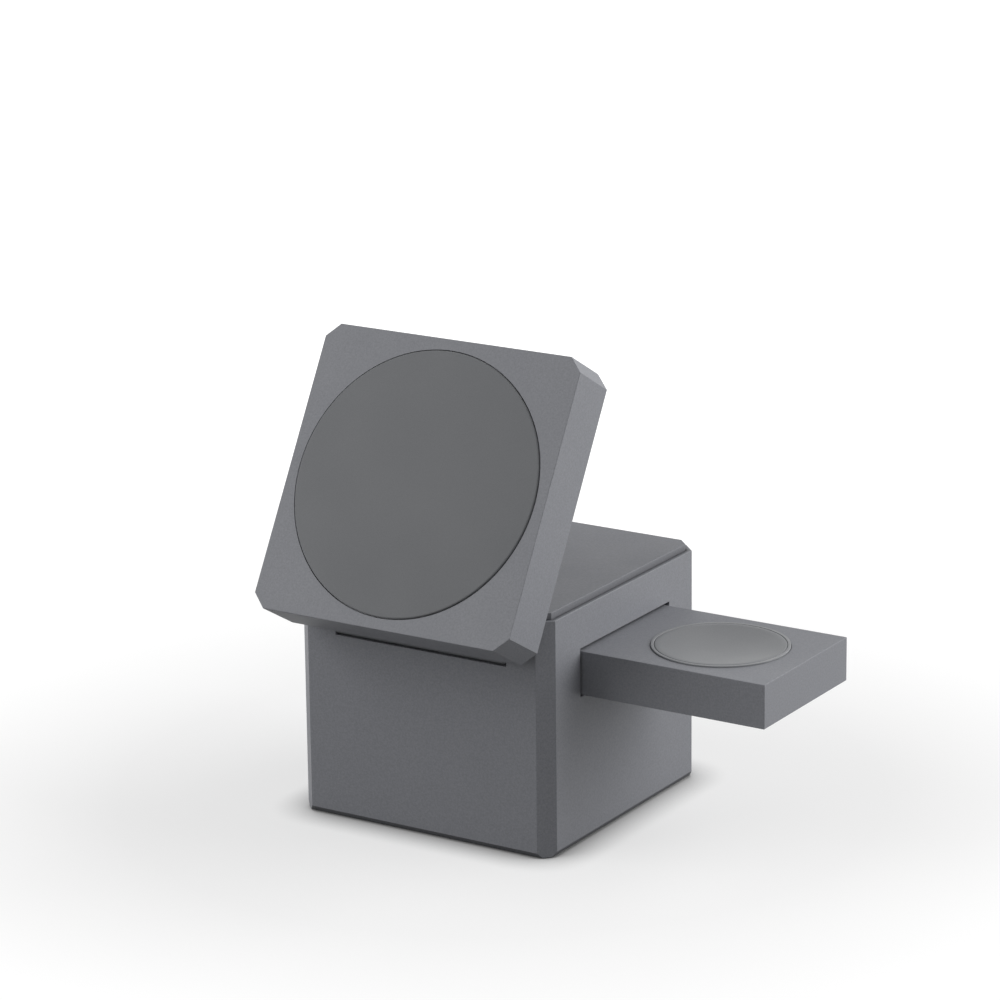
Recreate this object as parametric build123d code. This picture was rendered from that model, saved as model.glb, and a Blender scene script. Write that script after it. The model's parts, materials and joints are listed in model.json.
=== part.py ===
from build123d import *
import os
from itertools import product
from math import cos, radians, sin, sqrt

os.makedirs("parts", exist_ok=True)

# A cube-shaped desk charger, in millimetres. The origin is the middle of the footprint on
# the table, +X points to the side where the drawer slides out and +Y to the power inlet.
# Every piece is drawn with the cube shut, then the lid and the drawer are moved open.

# Cube form
body_side = 60.0            # width and depth
corner_cut = 2.9            # flat across each upright corner, measured along the side
edge_break = 0.1            # small bevel along the outer edges
base_top = 49.6             # height of the base walls
wall = 2.2                  # base wall
foot_bevel = 0.75           # steep bevel at the foot of each wall, inwards
foot_bevel_height = 1.05    # and upwards
shell_lift = 0.15           # lower edge of the walls above the table

# Fits
fit = 0.05                  # round a pin or a screw
ease = 0.2                  # round a piece that is set into another
running = 0.3               # between pieces that move past each other

# Earbuds tray on top of the base
ledge = 0.95                # flat of the wall left outside the tray
tray_seam = 0.25            # open seam between the ledge and the tray
tray_rise = 1.33            # tray above the wall
tray_sink = 1.6             # tray set into the wall
tray_break = 0.1
tray_deck = 1.4             # plastic above the coil
skirt_height = 3.5
skirt_wall = 1.4
bud_coil_outer = 16.0       # radii
bud_coil_inner = 5.0
bud_coil_height = 0.9
retainer_height = 1.2
retainer_screw_x = 17.0
retainer_screw_y = 9.0

# Lid, which carries the phone pad
lid_height = 11.8
lid_gap = 0.4               # open seam between lid and base when shut
lid_open = 60.0             # degrees from shut
lid_wall = 1.8
lid_rim = 0.8               # thin lip that reaches down round the tray
lid_recess = 1.6            # depth of the underside inside the lip
lid_cover_height = 1.6
lid_face = 1.6              # wall on the phone side
lid_boss = 2.6              # radius
lid_boss_inset = 6.0        # boss centre in from the side of the cube

# Phone pad and its charging stack
pad_radius = 27.5           # covers the magnets
pad_height = 1.2
pad_proud = 0.3             # pad above the lid's face
magnet_outer = 27.0
magnet_inner = 23.0
magnet_height = 2.0
magnet_count = 16
magnet_gap = 1.0
phone_coil_outer = 21.5
phone_coil_inner = 10.5
phone_coil_height = 1.6
phone_ferrite_radius = 22.4
phone_ferrite_height = 1.0
carrier_height = 1.2
carrier_margin = 0.5        # carrier plate beyond the magnets

# Hinge at the front of the base
hinge_setback = 4.05        # axis behind the front face
hinge_drop = 8.07           # axis below the top of the walls
notch_lip = 0.6             # front wall left standing before the barrel
barrel_radius = 3.75
arm_width = 40.0
neck_front = 3.4            # neck ahead of the axis
neck_back = 2.1             # neck behind the axis
arm_plate_height = 2.0
arm_plate_depth = 9.0
arm_screw_x = 17.0
arm_boss = 2.2
hinge_pin_radius = 1.5
cheek = 1.9                 # ear that holds the pin
cradle_wall = 1.4
cradle_floor = 2.3
cradle_rise = 6.4           # ears above the axis
cradle_flange = 2.0
cradle_flange_reach = 4.8   # flange beyond the ear
washer_radius = 3.4
washer_height = 0.55
washer_count = 3
clip_radius = 1.9
clip_height = 0.6
clip_groove = 0.3           # depth of the groove in the pin
pin_end = 0.6               # pin beyond the clip

# Watch drawer
drawer_width = 34.4
drawer_height = 9.15
drawer_floor = 31.3         # underside of the drawer above the table
drawer_travel = 41.3
drawer_wall = 1.6
drawer_cover_height = 1.4
slot_side = 0.5             # slot round the drawer
slot_above = 0.7
drawer_boss = 2.0
drawer_boss_inset = 4.2
stop_reach = 1.5            # stop ears beyond the drawer's sides
stop_height = 2.6
puck_from_end = 19.3        # puck centre behind the drawer's outer end
puck_radius = 13.3
puck_ring_width = 0.7
puck_ring_flange = 1.5
puck_proud = 0.3
puck_rim = 0.8              # flat round the dish
puck_dish = 0.9             # depth of the dish
puck_height = 2.2
watch_coil_outer = 11.0
watch_coil_inner = 5.2
watch_coil_height = 1.3
watch_ferrite_height = 0.9
watch_magnet_radius = 4.6
pedestal_outer = 12.0
pedestal_inner = 9.0
drawer_board_length = 13.0
drawer_board_width = 24.0
drawer_board_stand = 1.3

# Drawer channel inside the base
channel_deck = 1.8
channel_wall = 2.0
channel_lip = 1.5           # height of the lip above the drawer
channel_lip_reach = 2.0     # lip over the drawer
channel_stop = 2.8          # end wall behind the drawer
channel_window_x = 24.0
channel_window_y = 18.0

# Foot of the base
cover_lift = 0.6            # underside of the cover above the table
cover_height = 2.6
foot_side = 52.0
foot_corner = 4.0
foot_height = 1.2
post_width = 8.4            # corner posts inside the walls
cover_screw_inset = 5.2     # screws below and above, in from the walls
channel_screw_inset = 3.5
ballast_height = 8.0
ballast_clear = 4.0         # ballast to the walls
post_clear = 1.0            # board and ballast to the posts

# Main board and power inlet
board_stand = 11.8          # board above the cover
board_height = 1.6
board_clear = 0.6
standoff = 2.2              # radius
standoff_place = 16.0
inductor_side = 7.0
inductor_height = 3.5
inductor_pitch = 10.0
chip_side = 6.0
chip_height = 0.9
chip_pitch = 12.0
capacitor_radius = 2.4
capacitor_height = 5.0
capacitor_pitch = 7.0
component_row = 11.0        # from one row of components to the next
inlet_width = 8.94
inlet_height = 3.26
inlet_length = 7.3
inlet_wall = 0.3
inlet_setback = 0.5         # mouth behind the rear face
inlet_tongue_width = 6.7
inlet_tongue_height = 0.7
inlet_tongue_length = 4.45
inlet_back = 1.0
inlet_ease = 0.35

# Screws
screw_radius = 0.95
screw_head = 1.9
screw_head_height = 1.1
screw_bite = 6.0
small_screw_radius = 0.7
small_screw_head = 1.4
small_screw_head_height = 0.8
small_screw_bite = 1.8

# Heights and places that follow from the sizes above
half = body_side / 2
inner = half - wall
tray_seat = base_top - tray_sink
tray_top = base_top + tray_rise
tray_inset = ledge + tray_seam
tray_roof = tray_top - tray_deck
bud_ferrite_height = tray_roof - tray_seat - bud_coil_height
lid_bottom = base_top + lid_gap
lid_top = lid_bottom + lid_height
lid_ceiling = lid_bottom + lid_recess
lid_cover_top = lid_ceiling + lid_cover_height
lid_face_inside = lid_top - lid_face
lid_boss_place = half - lid_boss_inset
hinge_y = hinge_setback - half
hinge_z = base_top - hinge_drop
arm_half = arm_width / 2
notch_half = arm_half + running
hinge_bore = barrel_radius + running
notch_floor = hinge_z - hinge_bore
tilt = radians(lid_open)
neck_drop = (neck_front - cos(tilt) * (hinge_setback - notch_lip)) / sin(tilt)
notch_edge = hinge_z - neck_drop - running
cradle_back = hinge_y + hinge_bore + cradle_wall
washer_stack = washer_count * washer_height + (washer_count + 1) * fit
barrel_half = notch_half - washer_stack
cheek_out = notch_half + cheek
pin_reach = cheek_out + fit + clip_height + pin_end
arm_plate_front = half - lid_wall - running
arm_boss_y = arm_boss + 2 * ease - half + lid_wall
arm_plate_top = lid_cover_top + arm_plate_height
arm_screw_seat = lid_cover_top + small_screw_head_height + ease
drawer_half = drawer_width / 2
drawer_top = drawer_floor + drawer_height
drawer_roof = drawer_top - drawer_wall
drawer_cover_top = drawer_floor + drawer_cover_height
drawer_screw_seat = drawer_floor + small_screw_head_height + ease
drawer_back = running + channel_stop + running - inner
stop_length = inner - running - drawer_travel - drawer_back
puck_x = half - puck_from_end
channel_inner = drawer_half + slot_side
channel_outer = channel_inner + channel_wall
deck_top = drawer_floor - running
deck_bottom = deck_top - channel_deck
deck_seat = deck_top + cradle_flange
lip_bottom = drawer_top + running
lip_top = lip_bottom + channel_lip
stop_middle = drawer_floor + drawer_height / 2
cover_top = cover_lift + cover_height
foot_seat = foot_height
cover_screw_seat = foot_seat + screw_head_height + ease
post_inner = inner - post_width
cover_screw = inner - cover_screw_inset
channel_screw = inner - channel_screw_inset
board_bottom = cover_top + board_stand
board_top = board_bottom + board_height
inlet_z = board_top + inlet_height / 2
inlet_mouth = half - inlet_setback


def octagon(inset):
    """Plan of the cube with its cut corners, set in all round."""
    square = Rectangle(body_side - 2 * inset, body_side - 2 * inset)
    corner_reach = (body_side - corner_cut) / sqrt(2) - inset
    return square & Rot(0, 0, 45) * Rectangle(2 * corner_reach, 2 * corner_reach)


def between_posts(clear):
    """Plan that fits inside the walls and between the corner posts."""
    square = Rectangle(2 * (inner - clear), 2 * (inner - clear))
    corner_reach = post_inner * sqrt(2) - post_clear
    return square & Rot(0, 0, 45) * Rectangle(2 * corner_reach, 2 * corner_reach)


def slab(outline, low, high):
    """Upright block on a plan outline."""
    return Pos(0, 0, low) * extrude(outline, high - low)


def block(x, y, z):
    """Box between pairs of limits."""
    place = Pos((x[0] + x[1]) / 2, (y[0] + y[1]) / 2, (z[0] + z[1]) / 2)
    return place * Box(x[1] - x[0], y[1] - y[0], z[1] - z[0])


def disc(x, y, radius, low, high):
    """Upright cylinder."""
    return Pos(x, y, (low + high) / 2) * Cylinder(radius, high - low)


def ring(x, y, outer, hole, low, high):
    """Upright ring."""
    return disc(x, y, outer, low, high) - disc(x, y, hole, low, high)


def rod(radius, left, right):
    """Cylinder along the hinge axis."""
    place = Pos((left + right) / 2, hinge_y, hinge_z) * Rot(0, 90, 0)
    return place * Cylinder(radius, right - left)


def corners(place):
    """Four places at the corners of a square."""
    return [(place * i, place * j) for i, j in product((-1, 1), (-1, 1))]


def screw(x, y, seat, radius, head, head_height, bite, up):
    """Upright screw with its head on a seat, driven up or down."""
    way = 1 if up else -1
    shank = sorted((seat, seat + way * bite))
    cap = sorted((seat, seat - way * head_height))
    return disc(x, y, radius, *shank) + disc(x, y, head, *cap)


def group(solids):
    """Separate like solids kept together as one node."""
    return Compound(children=list(solids))


def base_shell():
    """Four walls with cut corners, the drawer slot, the hinge notch and the inlet window."""
    shell = slab(octagon(0), shell_lift, base_top)
    shell = chamfer(shell.faces().sort_by(Axis.Z)[-1].edges(), edge_break)
    for turn in (0, 90, 180, 270):
        shell -= Rot(0, 0, turn) * foot_wedge()
    shell -= slab(octagon(wall), 0, base_top)
    shell -= slab(octagon(ledge), tray_seat, base_top)
    for x, y in corners(1):
        corner = Pos(x * half, y * half) * Rectangle(2 * (half - post_inner), 2 * (half - post_inner))
        shell += slab(octagon(wall / 2) & corner, cover_top, deck_bottom)
    for x, y in corners(cover_screw):
        shell -= disc(x, y, screw_radius + fit, cover_top, cover_top + screw_bite)
    for x, y in channel_screw_places():
        shell -= disc(x, y, screw_radius + fit, deck_bottom - screw_bite, deck_bottom)
    shell -= block((0, half), (-channel_inner, channel_inner), (deck_top, drawer_top + slot_above))
    shell -= block((-notch_half, notch_half), (-half, -post_inner), (notch_edge, base_top))
    shell -= rod(hinge_bore, -notch_half, notch_half)
    shell -= inlet_form(inlet_ease, 0, half)
    shell -= slab(foot_outline(ease), 0, foot_seat)
    for x, y in channel_screw_places():
        shell -= disc(x, y, screw_head + ease, deck_seat, deck_seat + screw_head_height + ease)
    for side in (-1, 1):
        shell -= rod(clip_radius + fit, *sorted((side * cheek_out, side * pin_reach)))
    return shell


def foot_wedge():
    """Wedge that leaves the bevel at the foot of the front wall."""
    outside = -half - foot_bevel
    inside = 2 * foot_bevel - half
    low = shell_lift - foot_bevel_height
    high = shell_lift + 2 * foot_bevel_height
    outline = Polygon((inside, low), (outside, high), (outside, low), align=None)
    return extrude(Plane.YZ * outline, half, both=True)


def channel_screw_places():
    """Screws down through the channel, the front pair just outside the cradle's ears."""
    front = cheek_out + ease + screw_head
    pairs = ((front, -channel_screw), (channel_screw, channel_screw))
    return [(side * x, y) for (x, y), side in product(pairs, (-1, 1))]


def inlet_form(grow, low, high):
    """Flat-sided round-ended prism along Y on the inlet's centre line."""
    outline = SlotOverall(inlet_width + 2 * grow, inlet_height + 2 * grow)
    sketch = Plane((0, high, inlet_z), x_dir=(1, 0, 0), z_dir=(0, -1, 0)) * outline
    return extrude(sketch, high - low)


def bottom_cover():
    """Plate that closes the base, with standoffs for the board and a pocket for the foot."""
    cover = slab(octagon(wall + ease), cover_lift, cover_top)
    cover -= slab(foot_outline(ease), cover_lift, foot_seat)
    for x, y in corners(standoff_place):
        cover += disc(x, y, standoff, foot_seat, board_bottom)
        cover -= disc(x, y, small_screw_radius + fit, board_bottom - screw_bite, board_bottom)
    for x, y in corners(cover_screw):
        cover -= disc(x, y, screw_radius + ease, cover_lift, cover_top)
        cover -= disc(x, y, screw_head + ease, cover_lift, cover_screw_seat)
    return cover


def foot_outline(grow):
    """Rounded square of the foot pad."""
    return RectangleRounded(foot_side + 2 * grow, foot_side + 2 * grow, foot_corner + grow)


def ballast_plate():
    """Steel weight that keeps the cube standing, with holes round the standoffs."""
    plate = slab(between_posts(ballast_clear), cover_top, cover_top + ballast_height)
    for x, y in corners(standoff_place):
        plate -= disc(x, y, standoff + running, cover_top, cover_top + ballast_height)
    return plate


def main_board():
    """Circuit board on the standoffs."""
    board = slab(between_posts(board_clear), board_bottom, board_top)
    for x, y in corners(standoff_place):
        board -= disc(x, y, small_screw_radius + ease, board_bottom, board_top)
    return board


def component_places(count, pitch, row):
    """Places of like components in one row across the board."""
    start = -pitch * (count - 1) / 2
    return [(start + pitch * index, component_row * row) for index in range(count)]


def power_inductors():
    """Coils of the power stages."""
    inductors = []
    for x, y in component_places(3, inductor_pitch, -1):
        outline = RectangleRounded(inductor_side, inductor_side, inductor_side / 5)
        inductors.append(Pos(x, y, board_top) * extrude(outline, inductor_height))
    return group(inductors)


def control_chips():
    """Flat chips in the middle of the board."""
    outline = Rectangle(chip_side, chip_side)
    places = component_places(3, chip_pitch, 0)
    return group(Pos(x, y, board_top) * extrude(outline, chip_height) for x, y in places)


def board_capacitors():
    """Round capacitors near the power inlet."""
    places = component_places(3, capacitor_pitch, 1)
    return group(disc(x, y, capacitor_radius, board_top, board_top + capacitor_height) for x, y in places)


def inlet_shell():
    """Metal sleeve of the power inlet."""
    back = inlet_mouth - inlet_length
    return inlet_form(0, back, inlet_mouth) - inlet_form(-inlet_wall, back, inlet_mouth)


def inlet_tongue():
    """Contact tongue and back block inside the inlet."""
    back = inlet_mouth - inlet_length
    tongue = inlet_form(-inlet_wall - fit, back, back + inlet_back)
    side = inlet_tongue_width / 2
    rise = inlet_tongue_height / 2
    tip = back + inlet_back + inlet_tongue_length
    return tongue + block((-side, side), (back, tip), (inlet_z - rise, inlet_z + rise))


def drawer_channel():
    """Deck with two side rails and an end stop, in which the drawer runs."""
    channel = slab(octagon(wall + running), deck_bottom, deck_top)
    window_x = channel_window_x / 2
    window_y = channel_window_y / 2
    channel -= block((-window_x, window_x), (-window_y, window_y), (deck_bottom, deck_top))
    ends = (running - inner, inner - running)
    for side in (-1, 1):
        rail = sorted((side * channel_inner, side * channel_outer))
        lip = sorted((side * (drawer_half - channel_lip_reach), side * channel_outer))
        groove = sorted((side * channel_inner, side * (drawer_half + stop_reach + running)))
        channel += block(ends, rail, (deck_top, lip_top))
        channel += block(ends, lip, (lip_bottom, lip_top))
        channel -= block(ends, groove, groove_limits())
        pad_start = channel_outer + running
        pad_x = sorted((side * pad_start, side * (inner - running)))
        pad_y = (pad_start, inner - running)
        pad = block(pad_x, pad_y, (deck_top, deck_seat))
        channel += pad & slab(octagon(wall + running), deck_top, deck_seat)
    stop = (ends[0], ends[0] + channel_stop)
    channel += block(stop, (-channel_outer, channel_outer), (deck_top, lip_top))
    channel -= block((-half, half), (-half, cradle_back + running), (deck_top, lip_top))
    for x, y in channel_screw_places():
        channel -= disc(x, y, screw_radius + ease, deck_bottom, deck_seat)
    return channel


def groove_limits():
    """Lower and upper edge of the groove that the stop ears run in."""
    reach = stop_height / 2 + running
    return (stop_middle - reach, stop_middle + reach)


def earbuds_tray():
    """Raised top of the base, with a pocket below for its coil and a notch for the hinge."""
    tray = slab(octagon(tray_inset), tray_seat, tray_top)
    tray = chamfer(tray.faces().sort_by(Axis.Z)[-1].edges(), tray_break)
    skirt = octagon(wall + ease) - octagon(wall + ease + skirt_wall)
    tray += slab(skirt, tray_seat - skirt_height, tray_seat)
    tray -= disc(0, 0, bud_coil_outer + running, tray_seat, tray_roof)
    cradle_room = pin_reach + running
    for high in (tray_seat, hinge_z + cradle_rise + running):
        tray -= block((-cradle_room, cradle_room), (-half, cradle_back + running), (0, high))
    tray -= block((-notch_half, notch_half), (-half, hinge_y + hinge_bore), (0, tray_top))
    for x, y in retainer_places():
        tray -= disc(x, y, small_screw_radius + fit, tray_seat, tray_seat + small_screw_bite)
    return tray


def retainer_places():
    """Screws that hold the coil retainer to the tray."""
    return [(retainer_screw_x * i, retainer_screw_y * j) for i, j in product((-1, 1), (-1, 1))]


def coil_retainer():
    """Plate that holds the coil and its ferrite up in the tray."""
    margin = 2 * small_screw_head
    outline = RectangleRounded(2 * (retainer_screw_x + margin), 2 * (retainer_screw_y + margin), margin)
    low = tray_seat - retainer_height
    plate = slab(outline, low, tray_seat)
    for x, y in retainer_places():
        plate -= disc(x, y, small_screw_radius + ease, low, tray_seat)
    return plate


def hinge_cradle():
    """Trough with an ear at each end that holds the hinge pin, on a flange over the deck."""
    front = -inner
    low = notch_floor - cradle_floor
    high = hinge_z + cradle_rise
    cradle = block((-cheek_out, cheek_out), (front, cradle_back), (low, high))
    cradle -= block((-notch_half, notch_half), (front, hinge_y + hinge_bore), (hinge_z, high))
    cradle -= block((-notch_half, notch_half), (front, hinge_y), (notch_floor, high))
    cradle -= rod(hinge_bore, -notch_half, notch_half)
    for side in (-1, 1):
        ear = sorted((side * notch_half, side * cheek_out))
        foot = sorted((side * notch_half, side * (cheek_out + cradle_flange_reach)))
        cradle += block(ear, (front, cradle_back), (deck_top, high))
        flange = block(foot, (front, cradle_back), (deck_top, deck_seat))
        cradle += flange & slab(octagon(wall), deck_top, deck_seat)
    for x, y in channel_screw_places():
        cradle -= disc(x, y, screw_radius + ease, deck_top, deck_seat)
    return cradle - rod(hinge_pin_radius + fit, -cheek_out, cheek_out)


def hinge_pin():
    """Steel pin through the ears and the barrel, grooved for its clips."""
    pin = rod(hinge_pin_radius, -pin_reach, pin_reach)
    for side in (-1, 1):
        limits = sorted((side * (cheek_out + fit), side * (cheek_out + fit + clip_height)))
        pin -= rod(hinge_pin_radius, *limits) - rod(hinge_pin_radius - clip_groove, *limits)
    return pin


def pin_clips():
    """Open spring clips in the pin's grooves."""
    clips = []
    for side in (-1, 1):
        limits = sorted((side * (cheek_out + fit), side * (cheek_out + clip_height)))
        clip = rod(clip_radius, *limits) - rod(hinge_pin_radius - clip_groove + fit, *limits)
        mouth = hinge_pin_radius - clip_groove
        clip -= block(limits, (hinge_y, hinge_y + clip_radius), (hinge_z - mouth, hinge_z + mouth))
        clips.append(clip)
    return group(clips)


def friction_washers():
    """Spring washers at both ends of the barrel that hold the lid where it is put."""
    washers = []
    pitch = washer_height + fit
    for side, index in product((-1, 1), range(washer_count)):
        near = barrel_half + fit + index * pitch
        limits = sorted((side * near, side * (near + washer_height)))
        washers.append(rod(washer_radius, *limits) - rod(hinge_pin_radius + fit, *limits))
    return group(washers)


def hinge_arm():
    """Barrel on the pin, with a neck up into the lid and a plate that is screwed there."""
    barrel = rod(barrel_radius, -arm_half, arm_half)
    sides = (-arm_half, arm_half)
    neck = block(sides, (hinge_y - neck_front, hinge_y + neck_back), (hinge_z, lid_cover_top))
    plate_front = -arm_plate_front
    plate = block(sides, (plate_front, plate_front + arm_plate_depth), (lid_cover_top, arm_plate_top))
    arm = barrel + neck + plate
    for side in (-1, 1):
        end = sorted((side * barrel_half, side * arm_half))
        arm -= rod(washer_radius + running, *end)
        arm -= disc(side * arm_screw_x, arm_boss_y, small_screw_radius + ease, lid_cover_top, arm_plate_top)
        arm -= disc(side * arm_screw_x, arm_boss_y, small_screw_head + ease, lid_cover_top, arm_screw_seat)
    return arm - rod(hinge_pin_radius + fit, -arm_half, arm_half)


def lid_shell():
    """Phone-side housing with a thin lip that reaches down round the tray."""
    shell = slab(octagon(0), lid_bottom, lid_top)
    shell = chamfer(shell.faces().sort_by(Axis.Z)[0].edges(), edge_break)
    shell = chamfer(shell.faces().sort_by(Axis.Z)[-1].edges(), edge_break)
    shell -= slab(octagon(lid_wall), lid_bottom, lid_face_inside)
    shell -= slab(octagon(lid_rim), lid_bottom, lid_cover_top)
    shell -= disc(0, 0, pad_radius + ease, pad_seat(), lid_top)
    neck_room = (hinge_y - neck_front - fit, hinge_y + neck_back + ease)
    shell -= block((-arm_half - ease, arm_half + ease), neck_room, (lid_bottom, lid_cover_top))
    for x, y in corners(lid_boss_place):
        shell += ring(x, y, lid_boss, small_screw_radius + fit, carrier_top(), lid_face_inside)
    for side in (-1, 1):
        x = side * arm_screw_x
        shell += ring(x, arm_boss_y, arm_boss, small_screw_radius + fit, arm_plate_top, lid_face_inside)
    return shell


def pad_seat():
    """Floor of the round recess that the phone pad lies in."""
    return lid_top + pad_proud - pad_height


def carrier_top():
    """Upper face of the carrier, against the ferrite."""
    return lid_face_inside - phone_coil_height - phone_ferrite_height


def lid_cover():
    """Plain underside of the lid, set in behind the lip, with a notch for the hinge."""
    cover = slab(octagon(lid_rim + ease / 2), lid_ceiling, lid_cover_top)
    notch = (-half, hinge_y + neck_back + ease)
    side = arm_half + ease
    return cover - block((-side, side), notch, (lid_ceiling, lid_cover_top))


def phone_pad():
    """Soft round pad that the phone is held against."""
    pad = disc(0, 0, pad_radius, pad_seat(), pad_seat() + pad_height)
    return chamfer(pad.edges().sort_by(Axis.Z)[-1], pad_proud * 2 / 3)


def magnet_ring():
    """Ring of arc magnets round the phone coil."""
    low = lid_face_inside - magnet_height
    magnets = ring(0, 0, magnet_outer, magnet_inner, low, lid_face_inside)
    middle = (magnet_outer + magnet_inner) / 2
    width = magnet_outer - magnet_inner + 2 * magnet_gap
    gap = Pos(0, 0, low + magnet_height / 2) * Box(width, magnet_gap, magnet_height)
    for place in PolarLocations(middle, magnet_count):
        magnets -= place * gap
    return magnets


def phone_coil():
    """Flat winding behind the phone pad."""
    low = lid_face_inside - phone_coil_height
    return ring(0, 0, phone_coil_outer, phone_coil_inner, low, lid_face_inside)


def phone_ferrite():
    """Ferrite disc behind the phone coil."""
    return disc(0, 0, phone_ferrite_radius, carrier_top(), carrier_top() + phone_ferrite_height)


def coil_carrier():
    """Plate that holds ferrite, coil and magnets against the lid's face."""
    low = carrier_top() - carrier_height
    side = 2 * (lid_boss_place + lid_boss)
    plate = slab(RectangleRounded(side, side, lid_boss), low, carrier_top())
    plate += disc(0, 0, magnet_outer + carrier_margin, low, carrier_top())
    plate += ring(0, 0, magnet_outer, magnet_inner, carrier_top(), lid_face_inside - magnet_height)
    arm_room = arm_screw_x + arm_boss + running
    arm_back = arm_boss_y + arm_boss + running
    plate -= block((-arm_room, arm_room), (-half, arm_back), (low, lid_face_inside))
    arm_end = arm_plate_depth - arm_plate_front + running
    plate -= block((-notch_half, notch_half), (-half, arm_end), (lid_bottom, arm_plate_top + running))
    for x, y in corners(lid_boss_place):
        plate -= disc(x, y, small_screw_radius + ease, low, carrier_top())
    return plate


def drawer_shell():
    """Roof, sides and end of the drawer, with stop ears at its inner end."""
    sides = (-drawer_half, drawer_half)
    shell = block((drawer_back, half), sides, (drawer_floor, drawer_top))
    shell = chamfer(shell.faces().sort_by(Axis.X)[-1].edges(), edge_break)
    long_edges = shell.edges().filter_by(Axis.X)
    shell = chamfer(long_edges, edge_break)
    inside = drawer_half - drawer_wall
    hollow = (drawer_back + drawer_wall, half - drawer_wall)
    shell -= block(hollow, (-inside, inside), (drawer_floor, drawer_roof))
    shell -= disc(puck_x, 0, puck_radius + puck_ring_width + ease / 2, drawer_roof, drawer_top)
    for x, y in drawer_boss_places():
        shell += ring(x, y, drawer_boss, small_screw_radius + fit, drawer_cover_top, drawer_roof)
    for side in (-1, 1):
        ear_x = (drawer_back, drawer_back + stop_length)
        ear_y = sorted((side * drawer_half, side * (drawer_half + stop_reach)))
        ear_z = (stop_middle - stop_height / 2, stop_middle + stop_height / 2)
        shell += block(ear_x, ear_y, ear_z)
    return shell


def drawer_boss_places():
    """Screw bosses near the four corners of the drawer."""
    x_limits = (drawer_back + drawer_boss_inset, half - drawer_boss_inset)
    y_limit = drawer_half - drawer_boss_inset
    return list(product(x_limits, (-y_limit, y_limit)))


def drawer_cover():
    """Plate that closes the drawer from below, with a pedestal under the watch coil."""
    reach = drawer_half - drawer_wall - ease
    limits = (drawer_back + drawer_wall + ease, half - drawer_wall - ease)
    cover = block(limits, (-reach, reach), (drawer_floor, drawer_cover_top))
    cover += ring(puck_x, 0, pedestal_outer, pedestal_inner, drawer_cover_top, watch_ferrite_low())
    for x, y in drawer_board_places():
        cover += disc(x, y, drawer_boss, drawer_cover_top, drawer_cover_top + drawer_board_stand)
    for x, y in drawer_boss_places():
        cover -= disc(x, y, small_screw_radius + ease, drawer_floor, drawer_cover_top)
        cover -= disc(x, y, small_screw_head + ease, drawer_floor, drawer_screw_seat)
    return cover


def watch_puck_low():
    """Underside of the puck."""
    return drawer_top + puck_proud - puck_height


def watch_ferrite_low():
    """Underside of the ferrite below the watch coil."""
    return watch_puck_low() - watch_coil_height - watch_ferrite_height


def watch_puck():
    """Round charging face with a shallow dish that the watch sits in."""
    high = drawer_top + puck_proud
    puck = disc(puck_x, 0, puck_radius, watch_puck_low(), high)
    reach = puck_radius - puck_rim
    bowl = (reach ** 2 + puck_dish ** 2) / (2 * puck_dish)
    return puck - Pos(puck_x, 0, high + bowl - puck_dish) * Sphere(bowl)


def puck_ring():
    """Trim ring round the puck, with a flange below the drawer's roof."""
    outer = puck_radius + puck_ring_width
    hole = puck_radius + fit
    low = watch_puck_low()
    flange = ring(puck_x, 0, outer + puck_ring_flange, hole, low, drawer_roof)
    inside = drawer_half - drawer_wall - fit
    flange &= block((drawer_back, half), (-inside, inside), (low, drawer_roof))
    return flange + ring(puck_x, 0, outer, hole, drawer_roof, drawer_top + puck_proud)


def watch_coil():
    """Flat winding below the watch puck."""
    high = watch_puck_low()
    return ring(puck_x, 0, watch_coil_outer, watch_coil_inner, high - watch_coil_height, high)


def watch_ferrite():
    """Ferrite ring below the watch coil."""
    low = watch_ferrite_low()
    return ring(puck_x, 0, pedestal_outer, watch_coil_inner, low, low + watch_ferrite_height)


def watch_magnet():
    """Magnet in the middle of the watch coil, which draws the watch into the dish."""
    return disc(puck_x, 0, watch_magnet_radius, watch_ferrite_low(), watch_puck_low())


def drawer_board_places():
    """Standoffs of the drawer's board."""
    start = drawer_back + 2 * drawer_boss_inset + drawer_boss
    reach = drawer_board_width / 2 - drawer_boss
    return list(product((start, start + drawer_board_length - 2 * drawer_boss), (-reach, reach)))


def drawer_board():
    """Small circuit board behind the puck."""
    places = drawer_board_places()
    limits = (places[0][0] - drawer_boss, places[-1][0] + drawer_boss)
    low = drawer_cover_top + drawer_board_stand
    reach = drawer_board_width / 2
    return block(limits, (-reach, reach), (low, low + board_height))


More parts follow.
